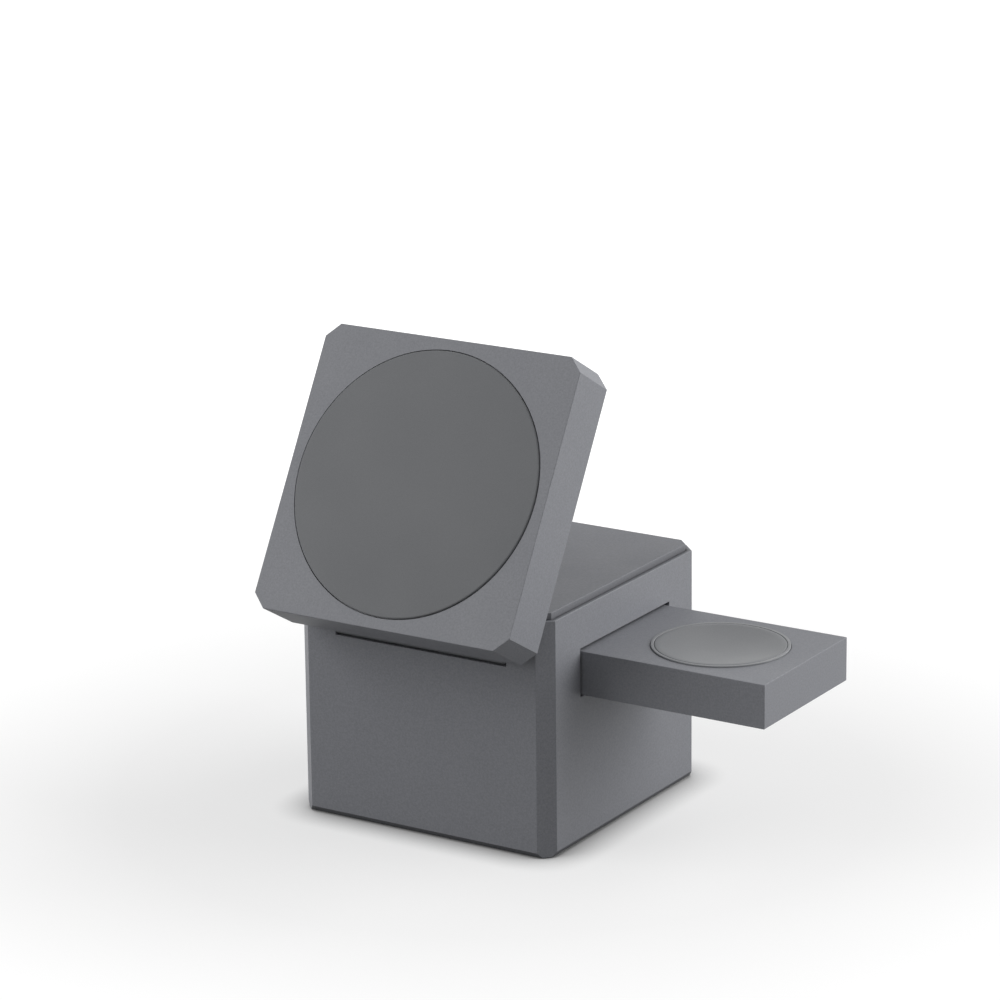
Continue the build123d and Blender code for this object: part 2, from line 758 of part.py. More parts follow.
def screws():
    """Screw groups by name."""
    big = (screw_radius, screw_head, screw_head_height)
    small = (small_screw_radius, small_screw_head, small_screw_head_height)
    cover_bite = cover_top - cover_screw_seat + screw_bite - ease
    deck_bite = deck_seat - deck_bottom + screw_bite - ease
    board_bite = board_height + screw_bite - ease
    retainer_seat = tray_seat - retainer_height
    retainer_bite = retainer_height + small_screw_bite - ease
    carrier_low = carrier_top() - carrier_height
    carrier_bite = carrier_height + small_screw_bite
    arm_bite = arm_plate_top - arm_screw_seat + small_screw_bite
    drawer_bite = drawer_cover_top - drawer_screw_seat + small_screw_bite
    arm_places = [(-arm_screw_x, arm_boss_y), (arm_screw_x, arm_boss_y)]
    rows = {
        "cover_screws": (corners(cover_screw), cover_screw_seat, big, cover_bite, True),
        "channel_screws": (channel_screw_places(), deck_seat, big, deck_bite, False),
        "board_screws": (corners(standoff_place), board_top, small, board_bite, False),
        "retainer_screws": (retainer_places(), retainer_seat, small, retainer_bite, True),
        "carrier_screws": (corners(lid_boss_place), carrier_low, small, carrier_bite, True),
        "arm_screws": (arm_places, arm_screw_seat, small, arm_bite, True),
        "drawer_screws": (drawer_boss_places(), drawer_screw_seat, small, drawer_bite, True),
    }
    made = {}
    for name, (places, seat, sizes, bite, up) in rows.items():
        made[name] = group(screw(x, y, seat, *sizes, bite, up) for x, y in places)
    return made


screw_groups = screws()

base_nodes = {
    "base_shell": base_shell(),
    "bottom_cover": bottom_cover(),
    "foot_pad": slab(foot_outline(0), 0, foot_height),
    "ballast_plate": ballast_plate(),
    "main_board": main_board(),
    "power_inductors": power_inductors(),
    "control_chips": control_chips(),
    "board_capacitors": board_capacitors(),
    "inlet_shell": inlet_shell(),
    "inlet_tongue": inlet_tongue(),
    "drawer_channel": drawer_channel(),
    "earbuds_tray": earbuds_tray(),
    "earbuds_coil": ring(0, 0, bud_coil_outer, bud_coil_inner, tray_roof - bud_coil_height, tray_roof),
    "earbuds_ferrite": disc(0, 0, bud_coil_outer, tray_seat, tray_seat + bud_ferrite_height),
    "coil_retainer": coil_retainer(),
    "hinge_cradle": hinge_cradle(),
    "hinge_pin": hinge_pin(),
    "pin_clips": pin_clips(),
    "friction_washers": friction_washers(),
    "cover_screws": screw_groups["cover_screws"],
    "channel_screws": screw_groups["channel_screws"],
    "board_screws": screw_groups["board_screws"],
    "retainer_screws": screw_groups["retainer_screws"],
}

lid_nodes = {
    "lid_shell": lid_shell(),
    "lid_cover": lid_cover(),
    "hinge_arm": hinge_arm(),
    "phone_pad": phone_pad(),
    "magnet_ring": magnet_ring(),
    "phone_coil": phone_coil(),
    "phone_ferrite": phone_ferrite(),
    "coil_carrier": coil_carrier(),
    "carrier_screws": screw_groups["carrier_screws"],
    "arm_screws": screw_groups["arm_screws"],
}

drawer_nodes = {
    "drawer_shell": drawer_shell(),
    "drawer_cover": drawer_cover(),
    "watch_puck": watch_puck(),
    "puck_ring": puck_ring(),
    "watch_coil": watch_coil(),
    "watch_ferrite": watch_ferrite(),
    "watch_magnet": watch_magnet(),
    "drawer_board": drawer_board(),
    "drawer_screws": screw_groups["drawer_screws"],
}

# The lid turns up about the hinge axis, and the drawer is drawn out to its stop
stay = Pos(0, 0, 0)
open_lid = Pos(0, hinge_y, hinge_z) * Rot(lid_open, 0, 0) * Pos(0, -hinge_y, -hinge_z)
open_drawer = Pos(drawer_travel, 0, 0)

for nodes, place in ((base_nodes, stay), (lid_nodes, open_lid), (drawer_nodes, open_drawer)):
    for name, piece in nodes.items():
        export_step(place * piece, f"parts/{name}.step")
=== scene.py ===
"""Looks of a cube-shaped desk charger: softened mouldings, turned pads, wound coils, studio and camera.

Sizes are in metres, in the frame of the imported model.
"""
import json
import logging
import math
from dataclasses import dataclass
from enum import Enum
from typing import Callable, Iterable, Sequence

import bmesh
import bpy
from mathutils import Matrix, Vector


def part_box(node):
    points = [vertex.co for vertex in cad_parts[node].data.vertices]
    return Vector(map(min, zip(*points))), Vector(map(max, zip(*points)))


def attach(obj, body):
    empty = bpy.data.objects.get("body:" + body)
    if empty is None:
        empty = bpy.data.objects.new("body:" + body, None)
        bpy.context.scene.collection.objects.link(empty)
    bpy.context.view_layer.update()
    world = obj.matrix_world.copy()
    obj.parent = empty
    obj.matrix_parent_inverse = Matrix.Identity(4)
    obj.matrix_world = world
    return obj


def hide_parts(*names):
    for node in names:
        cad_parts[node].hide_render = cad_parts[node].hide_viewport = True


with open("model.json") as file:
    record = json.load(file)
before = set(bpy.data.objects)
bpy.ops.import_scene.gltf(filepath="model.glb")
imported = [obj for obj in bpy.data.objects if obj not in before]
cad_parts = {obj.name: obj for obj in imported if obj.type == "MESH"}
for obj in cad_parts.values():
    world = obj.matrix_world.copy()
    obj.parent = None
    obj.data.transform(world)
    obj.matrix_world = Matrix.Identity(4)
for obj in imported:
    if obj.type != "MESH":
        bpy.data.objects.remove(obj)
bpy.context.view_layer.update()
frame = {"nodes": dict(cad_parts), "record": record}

MM = 0.001
# Mesh attribute of painted shade: how much darker a finish is drawn where shade falls at the ledge, the
# foot and the tray's sides.
PAINTED_SHADE_LAYER = "painted_shade"
WELD = 0.001 * MM
ON_AXIS = 0.0001 * MM
FLAT_ANGLE = math.radians(0.8)
BEVEL_ANGLE = math.radians(28)
SHARP_ANGLE = math.radians(40)
LEVEL_DIGITS = 3
LEVEL_SLACK = 0.01
LOG = logging.getLogger("charger")

Colour = tuple[float, float, float]
Place = tuple[float, float, float]
# Rule that gives the painted shade at each corner of a face.
PaintedShadeRule = Callable[[bpy.types.MeshPolygon, Vector], float]
NODE_BODY = {node: body for body, nodes in frame["record"]["behaviour"]["bodies"].items() for node in nodes}
NODE_SLOT = {row["node"]: row["material_slot"] for row in frame["record"]["subparts"]}
MOUNTS = {mount["name"]: mount for mount in frame["record"]["mounts"]}


class NodeSketch:
    """Places and links the nodes of one tree."""

    def __init__(self, tree: bpy.types.NodeTree) -> None:
        """Keep the tree that the nodes go into."""
        self.tree = tree

    def feed(self, target: bpy.types.NodeSocket, value: object) -> None:
        """Link a socket into an input, or set the input's own value.

        Args:
            target: Input socket.
            value: Output socket to link, or a plain value.
        """
        if isinstance(value, bpy.types.NodeSocket):
            self.tree.links.new(value, target)
        else:
            target.default_value = value

    def add(self, kind: str, values: dict[str | int, object] | None = None,
            **settings: object) -> bpy.types.Node:
        """Add one node.

        Args:
            kind: Blender's name for the type of node.
            values: Values or sockets for its inputs, by the input's name or number.
            settings: Attributes of the node itself.

        Returns:
            The new node.
        """
        node = self.tree.nodes.new(kind)
        for key, value in settings.items():
            setattr(node, key, value)
        for key, value in (values or {}).items():
            self.feed(node.inputs[key], value)
        return node


class Texture(Enum):
    """Pattern that a surface shows from close by."""

    GRAIN = "fine grain of a spark-eroded mould"
    BRUSH = "fine lines from grinding or drawing"
    TRACES = "tracks below a solder mask"


@dataclass(frozen=True)
class Finish:
    """Surface of every piece in one material slot."""

    slot: str
    colour: Colour
    roughness: float
    metallic: float = 0.0
    texture: Texture = Texture.GRAIN
    feature: float = 0.36 * MM
    relief: float = 0.02 * MM
    mottle: float = 0.12
    cloud: float = 14 * MM
    cloud_share: float = 0.2
    gloss_drift: float = 0.05
    sheen: float = 0.0
    specular: float = 0.35
    # Painted shade: how much darker the colour is drawn where the painted shade attribute is 1.
    painted_shade_strength: float = 0.6
    noise_detail: float = 3.0
    noise_low: float = 0.3
    noise_high: float = 0.7
    grain_roughness: float = 0.55
    brush_stretch: Colour = (1.0, 0.04, 0.04)
    track_length: float = 8
    track_gap: float = 0.03
    track_greys: Colour = (0.45, 0.6, 0.1)

    def material(self) -> bpy.types.Material:
        """Make the finish, or find the one that is made.

        Returns:
            The node material of this slot.
        """
        found = bpy.data.materials.get(self.slot + "_finish")
        if found:
            return found
        material = bpy.data.materials.new(self.slot + "_finish")
        material.use_nodes = True
        material.diffuse_color = (*self.colour, 1.0)
        sketch = NodeSketch(material.node_tree)
        shader = material.node_tree.nodes["Principled BSDF"]
        shader.inputs["Metallic"].default_value = self.metallic
        shader.inputs["Specular IOR Level"].default_value = self.specular
        shader.inputs["Sheen Weight"].default_value = self.sheen
        self._weather(sketch, shader)
        return material

    def _tone(self, factor: float) -> tuple[float, float, float, float]:
        """Return the colour made lighter or darker by a factor."""
        return (*(channel * factor for channel in self.colour), 1.0)

    def _weather(self, sketch: NodeSketch, shader: bpy.types.Node) -> None:
        """Give colour, gloss and relief their small unevenness, and darken the colour by the painted shade
        written into the mesh.

        Args:
            sketch: Tree of the material.
            shader: Its surface shader.
        """
        point = sketch.add("ShaderNodeTexCoord").outputs["Object"]
        fine = self._pattern(sketch, point)
        broad = sketch.add("ShaderNodeTexNoise", {
            "Vector": point, "Scale": 1 / self.cloud, "Detail": self.noise_detail})
        blend = sketch.add("ShaderNodeMix", {
            "Factor": self.cloud_share, "A": fine, "B": broad.outputs["Fac"]})
        ramp = sketch.add("ShaderNodeValToRGB", {"Fac": blend.outputs["Result"]})
        stops = ramp.color_ramp.elements
        stops[0].position, stops[1].position = self.noise_low, self.noise_high
        stops[0].color, stops[1].color = self._tone(1 - self.mottle), self._tone(1 + self.mottle)
        gloss = sketch.add("ShaderNodeMapRange", {
            "Value": broad.outputs["Fac"], "From Min": self.noise_low, "From Max": self.noise_high,
            "To Min": self.roughness - self.gloss_drift, "To Max": self.roughness + self.gloss_drift})
        bump = sketch.add("ShaderNodeBump", {"Strength": 1.0, "Distance": self.relief, "Height": fine})
        # Painted shade: the colour is scaled down by the mesh's painted shade attribute.
        painted_shade = sketch.add("ShaderNodeAttribute", attribute_name=PAINTED_SHADE_LAYER).outputs["Fac"]
        painted_shade_factor = sketch.add("ShaderNodeMapRange", {
            "Value": painted_shade, "To Min": 1.0, "To Max": 1 - self.painted_shade_strength})
        colour = sketch.add("ShaderNodeVectorMath", {
            "Vector": ramp.outputs["Color"], "Scale": painted_shade_factor.outputs["Result"]}, operation="SCALE")
        sketch.feed(shader.inputs["Base Color"], colour.outputs["Vector"])
        sketch.feed(shader.inputs["Roughness"], gloss.outputs["Result"])
        sketch.feed(shader.inputs["Normal"], bump.outputs["Normal"])

    def _pattern(self, sketch: NodeSketch, point: bpy.types.NodeSocket) -> bpy.types.NodeSocket:
        """Add the close pattern.

        Args:
            sketch: Tree of the material.
            point: Place on the piece.

        Returns:
            Height of the pattern, from 0 to 1.
        """
        if self.texture is Texture.TRACES:
            first, second, gap = ((grey, grey, grey, 1.0) for grey in self.track_greys)
            tracks = sketch.add("ShaderNodeTexBrick", {
                "Vector": point, "Scale": 1 / (self.track_length * self.feature),
                "Mortar Size": self.track_gap, "Color1": first, "Color2": second, "Mortar": gap})
            return tracks.outputs["Color"]
        if self.texture is Texture.BRUSH:
            stretch = sketch.add("ShaderNodeMapping", {"Vector": point, "Scale": self.brush_stretch})
            point = stretch.outputs["Vector"]
        grain = sketch.add("ShaderNodeTexNoise", {
            "Vector": point, "Scale": 1 / self.feature, "Detail": self.noise_detail,
            "Roughness": self.grain_roughness})
        return grain.outputs["Fac"]


FINISHES = {finish.slot: finish for finish in (
    Finish("shell_grey", (0.229, 0.2345, 0.2555), 0.52),
    Finish("tray_grey", (0.187, 0.1915, 0.2085), 0.56),
    Finish("inner_grey", (0.2, 0.207, 0.218), 0.56),
    Finish("channel_black", (0.03, 0.03, 0.032), 0.5),
    Finish("pad_grey", (0.165, 0.17, 0.178), 0.66, feature=0.12 * MM, relief=0.006 * MM, sheen=0.25),
    Finish("foot_rubber", (0.05, 0.05, 0.052), 0.75, feature=0.4 * MM, relief=0.03 * MM, sheen=0.15),
    Finish("puck_grey", (0.2, 0.206, 0.216), 0.4, feature=0.15 * MM, relief=0.004 * MM),
    Finish("puck_trim", (0.25, 0.257, 0.268), 0.36, feature=0.15 * MM, relief=0.004 * MM),
    Finish("ballast_steel", (0.45, 0.45, 0.46), 0.42, metallic=1.0, texture=Texture.BRUSH),
    Finish("hinge_cast", (0.21, 0.217, 0.228), 0.55, feature=0.5 * MM, relief=0.02 * MM),
    Finish("pin_steel", (0.6, 0.6, 0.61), 0.28, metallic=1.0, texture=Texture.BRUSH, feature=0.1 * MM),
    Finish("screw_steel", (0.36, 0.36, 0.37), 0.36, metallic=1.0, texture=Texture.BRUSH, feature=0.1 * MM),
    Finish("board_green", (0.02, 0.12, 0.06), 0.35, texture=Texture.TRACES, mottle=0.3),
    Finish("chip_black", (0.02, 0.02, 0.022), 0.55),
    Finish("capacitor_metal", (0.6, 0.6, 0.62), 0.33, metallic=1.0, texture=Texture.BRUSH),
    Finish("inlet_steel", (0.55, 0.55, 0.56), 0.3, metallic=1.0, texture=Texture.BRUSH, feature=0.15 * MM),
    Finish("coil_copper", (0.5, 0.21, 0.1), 0.34, metallic=1.0, feature=0.3 * MM, mottle=0.15),
    Finish("ferrite_grey", (0.06, 0.06, 0.065), 0.6, feature=0.2 * MM, relief=0.03 * MM, mottle=0.2),
    Finish("magnet_nickel", (0.55, 0.55, 0.56), 0.22, metallic=1.0, feature=0.3 * MM),
)}


def new_object(name: str, mesh: bpy.types.Mesh) -> bpy.types.Object:
    """Put a mesh into the scene.

    Args:
        name: Name of the piece.
        mesh: Its mesh, with its place in it.

    Returns:
        The object, at the origin.
    """
    piece = bpy.data.objects.new(name, mesh)
    bpy.context.scene.collection.objects.link(piece)
    return piece


def settled(piece: bpy.types.Object, name: str) -> bpy.types.Object:
    """Turn an object with live modifiers into a plain mesh object.

    Args:
        piece: Object to evaluate; it is removed.
        name: Name of the finished piece.

    Returns:
        The finished piece.
    """
    graph = bpy.context.evaluated_depsgraph_get()
    mesh = bpy.data.meshes.new_from_object(
        piece.evaluated_get(graph), preserve_all_data_layers=True, depsgraph=graph)
    mesh.name = name
    bpy.data.objects.remove(piece)
    return new_object(name, mesh)


def merged_form(node: str) -> bmesh.types.BMesh:
    """Copy a CAD node's mesh with its points merged and its flat faces joined.

    Args:
        node: Name of the node.

    Returns:
        The copy, which the caller frees.
    """
    form = bmesh.new()
    form.from_mesh(frame["nodes"][node].data)
    bmesh.ops.remove_doubles(form, verts=form.verts, dist=WELD)
    bmesh.ops.dissolve_limit(form, angle_limit=FLAT_ANGLE, verts=form.verts, edges=form.edges)
    return form


def softened(node: str, width: float, segments: int = 3) -> bpy.types.Object:
    """Make a copy of a moulded or cast node whose sharp edges are rounded off.

    Args:
        node: Name of the node.
        width: Width of the rounding.
        segments: Faces across the rounding.

    Returns:
        The piece, as a plain mesh.
    """
    form = merged_form(node)
    mesh = bpy.data.meshes.new(node + "_form")
    form.to_mesh(mesh)
    form.free()
    for layer in [layer for layer in mesh.attributes if layer.name == "custom_normal"]:
        mesh.attributes.remove(layer)
    mesh.materials.clear()
    mesh.shade_smooth()
    piece = new_object(node + "_form", mesh)
    bevel = piece.modifiers.new("edges", "BEVEL")
    bevel.width = width
    bevel.segments = segments
    bevel.limit_method = "ANGLE"
    bevel.angle_limit = BEVEL_ANGLE
    bevel.use_clamp_overlap = False
    piece.modifiers.new("normals", "WEIGHTED_NORMAL").keep_sharp = True
    return settled(piece, node + "_piece")


def paint_shade(mesh: bpy.types.Mesh, rule: PaintedShadeRule) -> None:
    """Write painted shade into a mesh: how much darker each face corner is drawn where shade falls.

    Args:
        mesh: Mesh to write into.
        rule: Painted shade at a corner of a face, from 0 to 1.
    """
    layer = mesh.attributes.new(PAINTED_SHADE_LAYER, "FLOAT", "CORNER")
    for face in mesh.polygons:
        for loop in face.loop_indices:
            layer.data[loop].value = rule(face, mesh.vertices[mesh.loops[loop].vertex_index].co)


@dataclass(frozen=True)
class Corner:
    """Point of a turned profile, with the radius that rounds it."""

    radius: float
    height: float
    rounding: float = 0.0


def rounded_profile(corners: Sequence[Corner], steps: int = 6) -> list[Vector]:
    """Replace the rounded corners of a profile by arcs.

    Args:
        corners: Corners in order.
        steps: Runs along each arc.

    Returns:
        Points of the profile, x outwards and y up.
    """
    points: list[Vector] = []
    spots = [Vector((corner.radius, corner.height)) for corner in corners]
    for index, corner in enumerate(corners):
        if not corner.rounding:
            points.append(spots[index])
            continue
        before = (spots[index - 1] - spots[index]).normalized()
        after = (spots[(index + 1) % len(spots)] - spots[index]).normalized()
        half = before.angle(after) / 2
        start = spots[index] + before * corner.rounding / math.tan(half)
        stop = spots[index] + after * corner.rounding / math.tan(half)
        centre = spots[index] + (before + after).normalized() * corner.rounding / math.sin(half)
        turn = (start - centre).angle_signed(stop - centre)
        for step in range(steps + 1):
            swing = Matrix.Rotation(-turn * step / steps, 2)
            points.append(centre + swing @ (start - centre))
    return points


def turned(name: str, profile: Sequence[Vector], place: Matrix, closed: bool,
           segments: int = 160) -> bpy.types.Object:
    """Turn a profile about an axis.

    Args:
        name: Name of the piece.
        profile: Points, x outwards and y along the axis.
        place: Frame whose Z axis is the axis of the turning.
        closed: Whether the profile is a closed loop, as of a ring.
        segments: Faces round the axis.

    Returns:
        The turned piece.
    """
    form = bmesh.new()
    rows = []
    for point in profile:
        count = segments if point.x > ON_AXIS else 1
        angles = [2 * math.pi * step / segments for step in range(count)]
        spots = [Vector((point.x * math.cos(turn), point.x * math.sin(turn), point.y))
                 for turn in angles]
        rows.append([form.verts.new(place @ spot) for spot in spots])
    pairs = list(zip(rows, rows[1:])) + ([(rows[-1], rows[0])] if closed else [])
    for low, high in pairs:
        for step in range(segments):
            after = (step + 1) % segments
            ring = [low[step % len(low)], low[after % len(low)],
                    high[after % len(high)], high[step % len(high)]]
            form.faces.new(list(dict.fromkeys(ring)))
    bmesh.ops.recalc_face_normals(form, faces=form.faces)
    mesh = bpy.data.meshes.new(name)
    form.to_mesh(mesh)
    form.free()
    mesh.shade_smooth()
    mesh.set_sharp_from_angle(angle=SHARP_ANGLE)
    return new_object(name, mesh)


class GrowthTree:
    """Geometry Nodes tree with named inputs, which ends as one real mesh with its finish."""

    def __init__(self, name: str, inputs: dict[str, str]) -> None:
        """Start a tree.

        Args:
            name: Name of the tree.
            inputs: Blender's socket type of each named input.
        """
        self.tree = bpy.data.node_groups.new(name, "GeometryNodeTree")
        self.sketch = NodeSketch(self.tree)
        self.names: dict[str, str] = {}
        kinds = {"Geometry": "NodeSocketGeometry", **inputs, "Finish": "NodeSocketMaterial"}
        for title, kind in kinds.items():
            socket = self.tree.interface.new_socket(title, in_out="INPUT", socket_type=kind)
            self.names[title] = socket.identifier
        self.tree.interface.new_socket("Geometry", in_out="OUTPUT", socket_type="NodeSocketGeometry")
        self.given = self.sketch.add("NodeGroupInput").outputs

    def close(self, shape: bpy.types.NodeSocket) -> None:
        """Realize a shape, give it its finish and end the tree with it.

        Args:
            shape: Instances or mesh that the tree has made.
        """
        real = self.sketch.add("GeometryNodeRealizeInstances", {"Geometry": shape})
        done = self.sketch.add("GeometryNodeSetMaterial", {
            "Geometry": real.outputs["Geometry"], "Material": self.given["Finish"]})
        self.sketch.add("NodeGroupOutput", {"Geometry": done.outputs["Geometry"]})

    def grow(self, name: str, spots: Iterable[Vector], finish: Finish,
             values: dict[str, object]) -> bpy.types.Object:
        """Run the tree on a set of points.

        Args:
            name: Name of the piece.
            spots: Points that the tree starts from.
            finish: Finish of the piece.
            values: Values of the named inputs.

        Returns:
            The piece, as a plain mesh.
        """
        mesh = bpy.data.meshes.new(name + "_spots")
        mesh.from_pydata([tuple(spot) for spot in spots], [], [])
        seed = bpy.data.objects.new(name + "_spots", mesh)
        growth = seed.modifiers.new("growth", "NODES")
        growth.node_group = self.tree
        for title, value in {**values, "Finish": finish.material()}.items():
            growth[self.names[title]] = value
        bpy.context.scene.collection.objects.link(seed)
        piece = settled(seed, name)
        piece.data.shade_smooth()
        piece.data.set_sharp_from_angle(angle=SHARP_ANGLE)
        return piece


@dataclass
class SubAssembly:
    """Pieces that belong together and are finished together."""

    def __post_init__(self) -> None:
        """Start with no pieces."""
        self.pieces: list[tuple[bpy.types.Object, str, tuple[str, ...]]] = []

    def keep(self, piece: bpy.types.Object, *nodes: str, on: str = "", slot: str = "") -> None:
        """Note a piece for dressing.

        Args:
            piece: Finished mesh object.
            nodes: CAD nodes that it stands for.
            on: Node that it sits on, where it stands for none.
            slot: Material slot, where it isn't that of its node.
        """
        carrier = nodes[0] if nodes else on
        self.pieces.append((piece, slot or NODE_SLOT[carrier], nodes or (on,)))
        piece["stands_in"] = bool(nodes)

    def soften(self, nodes: Iterable[str], width: float) -> None:
        """Round the edges of several nodes alike."""
        for node in nodes:
            self.keep(softened(node, width), node)

    def build(self) -> None:
        """Make the meshes."""
        raise NotImplementedError

    def dress(self) -> None:
        """Give each piece its finish and its body, and report it."""
        for piece, slot, nodes in self.pieces:
            piece.data.materials.clear()
            piece.data.materials.append(FINISHES[slot].material())
            stands_in = piece.pop("stands_in")
            if stands_in:
                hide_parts(*nodes)
            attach(piece, NODE_BODY[nodes[0]])
            LOG.info("%s rides on %s, finish %s, %d faces", piece.name, NODE_BODY[nodes[0]], slot,
                     len(piece.data.polygons))


@dataclass
class BaseHousing(SubAssembly):
    """Walls, tray, bottom and foot of the cube."""

    edge: float = 0.05 * MM
    hidden_edge: float = 0.1 * MM
    ledge: float = 0.95 * MM
    foot_top: float = 1.25 * MM
    # Painted shade on the foot's bevel and down the tray's sides, where shade falls.
    foot_painted_shade: float = 0.8
    painted_shade_reach: float = 2.0 * MM
    facing_up: float = 0.9
    facing_down: float = -0.1
    upright: float = 0.5

    def build(self) -> None:
        """Round the walls and the tray, then the plates below and inside, and paint shade into the walls
        and the tray.
        """
        self.soften(("base_shell", "earbuds_tray"), self.edge)
        self.soften(("bottom_cover", "drawer_channel", "foot_pad"), self.hidden_edge)
        walls, tray = (entry[0].data for entry in self.pieces[:2])
        # Painted shade: the ledge's inner edge, the foot's bevel and the tray's sides are drawn darker.
        paint_shade(walls, self._wall_rule(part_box("base_shell")[1]))
        paint_shade(tray, self._tray_rule(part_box("earbuds_tray")[1].z))

    def _wall_rule(self, high: Vector) -> PaintedShadeRule:
        """Make the rule for the walls.

        Args:
            high: Upper corner of the walls' box.

        Returns:
            Painted shade rule that is 1 at the inner edge of the ledge, less on the foot's downward bevel
            and 0 elsewhere.
        """
        inside = high.x - self.ledge / 2

        def rule(face: bpy.types.MeshPolygon, point: Vector) -> float:
            """Tell how much shade is painted on the walls.

            Args:
                face: Face of the walls.
                point: Corner of the face.

            Returns:
                Painted shade from 0 to 1.
            """
            if face.center.z < self.foot_top and face.normal.z < self.facing_down:
                return self.foot_painted_shade
            on_ledge = face.normal.z > self.facing_up and face.center.z > high.z - self.edge
            return float(on_ledge and max(abs(point.x), abs(point.y)) < inside)

        return rule

    def _tray_rule(self, top: float) -> PaintedShadeRule:
        """Make the rule for the tray.

        Args:
            top: Height of the tray.

        Returns:
            Painted shade rule that is 0 on the top and rises down the sides.
        """
        def rule(face: bpy.types.MeshPolygon, point: Vector) -> float:
            """Return the painted shade of the tray at a corner of a face."""
            depth = min(1.0, (top - point.z) / self.painted_shade_reach)
            return depth if abs(face.normal.z) < self.upright else 0.0

        return rule


@dataclass
class HingeGroup(SubAssembly):
    """Cast cradle and arm at the front of the cube."""

    edge: float = 0.2 * MM

    def build(self) -> None:
        """Round the two castings."""
        self.soften(("hinge_cradle", "hinge_arm"), self.edge)


@dataclass
class PowerInlet(SubAssembly):
    """Sleeve, tongue and contacts of the power inlet."""

    edge: float = 0.06 * MM
    contacts: int = 12
    contact_pitch: float = 0.5 * MM
    contact_width: float = 0.26 * MM
    contact_length: float = 2.6 * MM
    contact_proud: float = 0.02 * MM
    contact_setback: float = 0.18 * MM

    def build(self) -> None:
        """Round the sleeve, and lay the contacts on both faces of the tongue."""
        self.soften(("inlet_shell",), self.edge)
        low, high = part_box("inlet_tongue")
        middle = (low + high) / 2
        points = [vert.co for vert in frame["nodes"]["inlet_tongue"].data.vertices]
        heights = [point.z for point in points if point.y > high.y - self.edge]
        reach = high.y - self.contact_setback - self.contact_length / 2
        spots = [Vector((middle.x, reach, middle.z))]
        thickness = max(heights) - min(heights) + 2 * self.contact_proud
        piece = self._contact_tree().grow("inlet_contacts", spots, FINISHES["pin_steel"], {
            "Count": self.contacts, "Pitch": self.contact_pitch,
            "Pad": (self.contact_width, self.contact_length, thickness)})
        self.keep(piece, on="inlet_tongue", slot="pin_steel")

    def _contact_tree(self) -> GrowthTree:
        """Make the tree that lays a row of contacts.

        Returns:
            Tree with the count, the pitch and the size of a contact as inputs.
        """
        tree = GrowthTree("contact_row", {
            "Count": "NodeSocketInt", "Pitch": "NodeSocketFloat", "Pad": "NodeSocketVector"})
        add, given = tree.sketch.add, tree.given
        step = add("ShaderNodeCombineXYZ", {"X": given["Pitch"]})
        less = add("ShaderNodeMath", {0: given["Count"], 1: 1.0}, operation="SUBTRACT")
        span = add("ShaderNodeMath", {0: less.outputs[0], 1: given["Pitch"]}, operation="MULTIPLY")
        back = add("ShaderNodeMath", {0: span.outputs[0], 1: -0.5}, operation="MULTIPLY")
        start = add("ShaderNodeCombineXYZ", {"X": back.outputs[0]})
        row = add("GeometryNodeMeshLine", {
            "Count": given["Count"], "Start Location": start.outputs[0], "Offset": step.outputs[0]})
        pad = add("GeometryNodeMeshCube", {"Size": given["Pad"]})
        pads = add("GeometryNodeInstanceOnPoints", {
            "Points": row.outputs["Mesh"], "Instance": pad.outputs["Mesh"]})
        rows = add("GeometryNodeInstanceOnPoints", {
            "Points": given["Geometry"], "Instance": pads.outputs["Instances"]})
        tree.close(rows.outputs["Instances"])
        return tree


@dataclass
class PhoneLid(SubAssembly):
    """Tilted lid with its round soft pad."""

    edge: float = 0.05 * MM
    pad_edge: float = 0.3 * MM

    def build(self) -> None:
        """Round the housing and its cover, and turn the pad."""
        self.soften(("lid_shell", "lid_cover"), self.edge)
        face = MOUNTS["phone_face"]
        low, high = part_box("phone_pad")
        radius = (high.x - low.x) / 2
        turn = Vector(face["axis"]).to_track_quat("Z", "X").to_matrix().to_4x4()
        back = min((turn.inverted() @ (vert.co - Vector(face["pos_m"]))).z
                   for vert in frame["nodes"]["phone_pad"].data.vertices)
        corners = (Corner(0, back), Corner(radius, back), Corner(radius, 0, self.pad_edge), Corner(0, 0))
        place = Matrix.Translation(face["pos_m"]) @ turn
        self.keep(turned("phone_pad_piece", rounded_profile(corners), place, closed=False), "phone_pad")


